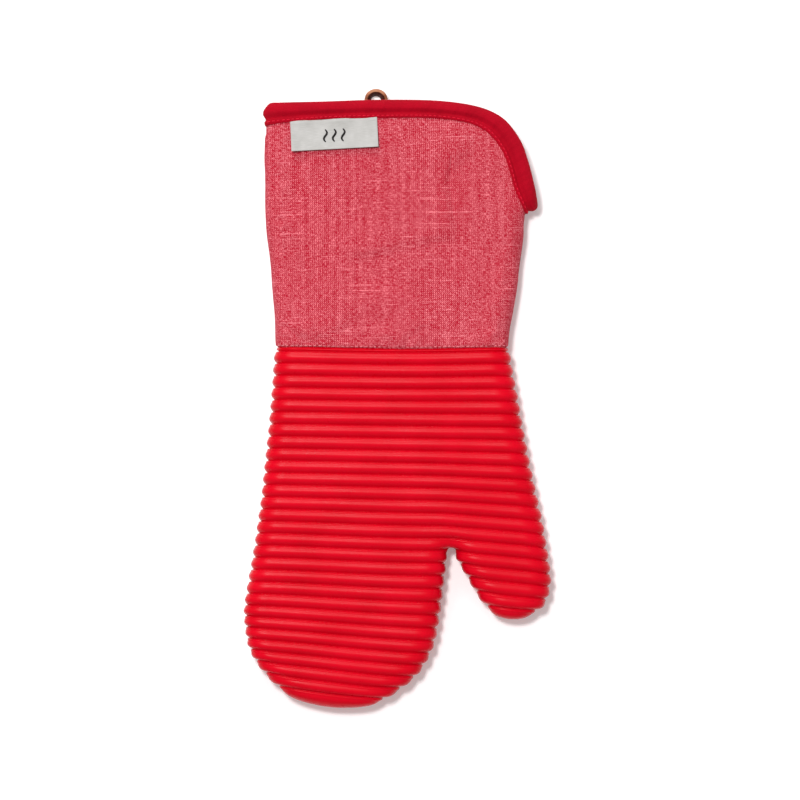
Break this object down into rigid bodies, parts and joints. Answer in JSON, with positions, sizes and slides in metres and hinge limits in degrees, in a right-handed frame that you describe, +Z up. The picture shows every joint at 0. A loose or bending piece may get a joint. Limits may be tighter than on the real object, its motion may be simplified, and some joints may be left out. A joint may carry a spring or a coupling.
{
  "type": "oven mitt",
  "caption": "Long oven mitt with a ribbed silicone hand and thumb, a padded woven cuff, a bound curved mouth, a woven label and a leather hanging loop.",
  "frame": {"origin": "centre of the footprint of the whole mitt, on the surface it lies on", "axes": "+Z up, out of the front of the mitt; +Y along the mitt towards the mouth of the cuff; +X to the side the thumb is on"},
  "size_m": [0.1671, 0.3352, 0.024],
  "materials": {
    "silicone": "satin red silicone with raised ribs",
    "chambray": "red and white cross-woven cotton",
    "tape": "dark red twill tape",
    "thread": "red sewing thread",
    "wadding": "needled heat-proof felt",
    "lining": "soft cotton lining",
    "leather": "brown leather with a tan cut edge",
    "label": "light grey satin-woven label"
  },
  "bodies": {
    "palm": {"silicone_palm": "silicone", "silicone_knuckle_zone": "silicone", "silicone_thumb_zone": "silicone", "cuff_front_wrist_zone": "chambray", "cuff_back_wrist_zone": "chambray", "hem_stitching": "thread", "wadding_front": "wadding", "wadding_back": "wadding", "lining_front": "lining", "lining_back": "lining"},
    "fingers": {"silicone_fingers": "silicone"},
    "thumb": {"silicone_thumb": "silicone"},
    "cuff": {"cuff_front_panel": "chambray", "cuff_back_panel": "chambray", "binding_tape": "tape", "binding_stitching": "thread", "hang_loop_tail_left": "leather", "hang_loop_tail_right": "leather"},
    "label": {"woven_label": "label"},
    "hang_loop": {"hang_loop": "leather"}
  },
  "joints": [
    {"name": "finger_curl", "type": "hinge", "parent": "palm", "child": "fingers", "pos_m": [-0.03, -0.10334, 0.012], "axis": [-0.999, 0.0436, 0], "range_deg": [0, 70], "stiffness_Nm_per_rad": 0.3, "deforming": ["silicone_knuckle_zone", "wadding_front", "wadding_back", "lining_front", "lining_back"]},
    {"name": "thumb_close", "type": "hinge", "parent": "palm", "child": "thumb", "pos_m": [0.05644, -0.07324, 0.012], "axis": [-0.7071, -0.7071, 0], "range_deg": [0, 55], "stiffness_Nm_per_rad": 0.15, "deforming": ["silicone_thumb_zone", "wadding_front", "wadding_back", "lining_front", "lining_back"]},
    {"name": "wrist_bend", "type": "hinge", "parent": "palm", "child": "cuff", "pos_m": [0, 0.0545, 0.0115], "axis": [1, 0, 0], "range_deg": [0, 50], "stiffness_Nm_per_rad": 0.1, "deforming": ["cuff_front_wrist_zone", "cuff_back_wrist_zone", "wadding_front", "wadding_back", "lining_front", "lining_back"]},
    {"name": "label_flap", "type": "hinge", "parent": "cuff", "child": "label", "pos_m": [-0.0347, 0.1501, 0.0217], "axis": [-0.9992, -0.0401, 0], "range_deg": [0, 135]},
    {"name": "loop_swing", "type": "hinge", "parent": "cuff", "child": "hang_loop", "pos_m": [-0.0117, 0.162, 0.0075], "axis": [1, 0, 0], "range_deg": [-15, 25], "stiffness_Nm_per_rad": 0.002}
  ]
}
